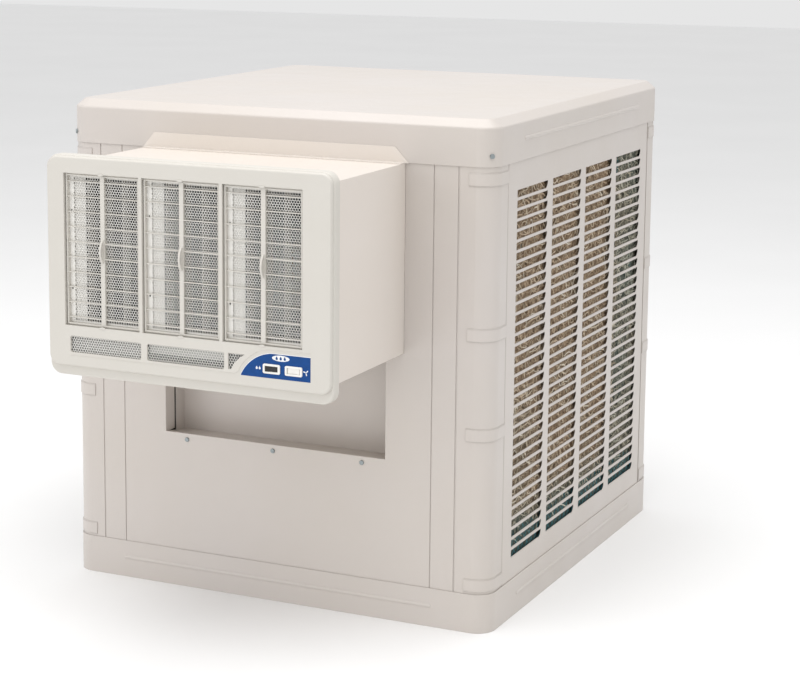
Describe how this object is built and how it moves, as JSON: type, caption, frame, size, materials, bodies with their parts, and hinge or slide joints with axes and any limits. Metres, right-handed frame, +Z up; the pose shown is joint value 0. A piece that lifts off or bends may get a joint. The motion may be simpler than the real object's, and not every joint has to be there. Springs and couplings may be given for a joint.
{
  "type": "evaporative cooler",
  "caption": "Box-shaped window evaporative cooler with a forward duct, swivelling outlet louvres and lift-off louvred pad panels.",
  "frame": {"origin": "centre of the cabinet's underside, where the water pan rests", "axes": "+Z up, the duct and its outlet grille face -Y, +X is to the right for a viewer who faces the grille"},
  "size_m": [0.714, 1.0375, 0.758],
  "materials": {
    "cabinet_enamel": "baked enamel, satin, warm grey-white",
    "duct_enamel": "baked enamel, satin, cream white",
    "grille_plastic": "moulded, fine satin texture",
    "screen_plastic": "perforated, fine satin texture",
    "badge_blue": "printed plastic film",
    "switch_white": "moulded, satin",
    "switch_black": "moulded, satin",
    "galvanised_sheet": "galvanised, spangled",
    "aspen_fibre": "shredded aspen wood fibre in a net",
    "zinc_screw": "zinc plated",
    "motor_paint": "satin paint",
    "steel_shaft": "ground",
    "pump_plastic": "moulded",
    "hose_rubber": "smooth",
    "brass": "turned",
    "overflow_plastic": "moulded"
  },
  "bodies": {
    "cabinet": {"base_pan": "cabinet_enamel", "control_badge": "badge_blue", "control_box": "galvanised_sheet", "cord_gland": "hose_rubber", "corner_post_front_left": "cabinet_enamel", "corner_post_front_right": "cabinet_enamel", "corner_post_rear_left": "cabinet_enamel", "corner_post_rear_right": "cabinet_enamel", "drain_fitting": "brass", "duct_sleeve": "duct_enamel", "duct_top_flange": "duct_enamel", "float_valve": "brass", "front_panel": "cabinet_enamel", "front_strip_left": "cabinet_enamel", "front_strip_right": "cabinet_enamel", "grille_frame": "grille_plastic", "lid": "cabinet_enamel", "lid_screws": "zinc_screw", "lower_screen": "screen_plastic", "motor": "motor_paint", "motor_bracket": "galvanised_sheet", "outlet_plate": "galvanised_sheet", "pump_body": "pump_plastic", "pump_hose": "hose_rubber", "recess_liner": "cabinet_enamel", "recess_screws": "zinc_screw", "scroll_side_left": "galvanised_sheet", "scroll_side_right": "galvanised_sheet", "scroll_wrap": "galvanised_sheet", "switch_body_cool": "switch_white", "switch_body_fan": "switch_white", "water_inlet": "brass", "water_trough": "pump_plastic"},
    "cartridge_left": {"cartridge_frame_left": "grille_plastic", "cartridge_screen_left": "screen_plastic", "cartridge_vanes_left": "grille_plastic"},
    "cartridge_centre": {"cartridge_frame_centre": "grille_plastic", "cartridge_screen_centre": "screen_plastic", "cartridge_vanes_centre": "grille_plastic"},
    "cartridge_right": {"cartridge_frame_right": "grille_plastic", "cartridge_screen_right": "screen_plastic", "cartridge_vanes_right": "grille_plastic"},
    "cool_rocker": {"rocker_cool": "switch_black"},
    "fan_rocker": {"rocker_fan": "switch_white"},
    "blower": {"blower_wheel": "galvanised_sheet", "motor_shaft": "steel_shaft"},
    "pump_rotor": {"pump_impeller": "pump_plastic"},
    "float": {"float_arm": "brass", "float_ball": "pump_plastic"},
    "panel_left": {"louvre_panel_left": "cabinet_enamel", "pad_left": "aspen_fibre", "pad_retainer_left": "galvanised_sheet"},
    "panel_right": {"louvre_panel_right": "cabinet_enamel", "pad_right": "aspen_fibre", "pad_retainer_right": "galvanised_sheet"},
    "panel_rear": {"louvre_panel_rear": "cabinet_enamel", "pad_rear": "aspen_fibre", "pad_retainer_rear": "galvanised_sheet"},
    "overflow": {"overflow_pipe": "overflow_plastic"}
  },
  "joints": [
    {"name": "cartridge_left_swivel", "type": "hinge", "parent": "cabinet", "child": "cartridge_left", "pos_m": [-0.1359, -0.625, 0.571], "axis": [0, 0, 1], "range_deg": [-25, 25]},
    {"name": "cartridge_centre_swivel", "type": "hinge", "parent": "cabinet", "child": "cartridge_centre", "pos_m": [-0.0075, -0.625, 0.571], "axis": [0, 0, 1], "range_deg": [-25, 25]},
    {"name": "cartridge_right_swivel", "type": "hinge", "parent": "cabinet", "child": "cartridge_right", "pos_m": [0.1209, -0.625, 0.571], "axis": [0, 0, 1], "range_deg": [-25, 25]},
    {"name": "cool_switch_rock", "type": "hinge", "parent": "cabinet", "child": "cool_rocker", "pos_m": [0.136, -0.637, 0.4302], "axis": [0, 0, -1], "range_deg": [0, 20]},
    {"name": "fan_switch_rock", "type": "hinge", "parent": "cabinet", "child": "fan_rocker", "pos_m": [0.17, -0.637, 0.4302], "axis": [0, 0, -1], "range_deg": [-10, 10]},
    {"name": "blower_spin", "type": "hinge", "parent": "cabinet", "child": "blower", "pos_m": [0, 0.05, 0.414], "axis": [1, 0, 0], "continuous": true},
    {"name": "pump_spin", "type": "hinge", "parent": "cabinet", "child": "pump_rotor", "pos_m": [-0.235, -0.215, 0.03], "axis": [0, 0, 1], "continuous": true},
    {"name": "float_lift", "type": "hinge", "parent": "cabinet", "child": "float", "pos_m": [-0.3161, 0.3391, 0.076], "axis": [-0.7071, -0.7071, 0], "range_deg": [0, 20]},
    {"name": "panel_left_lift", "type": "slide", "parent": "cabinet", "child": "panel_left", "axis": [0, 0, 1], "range_m": [0, 0.014]},
    {"name": "panel_right_lift", "type": "slide", "parent": "cabinet", "child": "panel_right", "axis": [0, 0, 1], "range_m": [0, 0.014]},
    {"name": "panel_rear_lift", "type": "slide", "parent": "cabinet", "child": "panel_rear", "axis": [0, 0, 1], "range_m": [0, 0.014]},
    {"name": "overflow_lift", "type": "slide", "parent": "cabinet", "child": "overflow", "axis": [0, 0, 1], "range_m": [0, 0.03]}
  ]
}
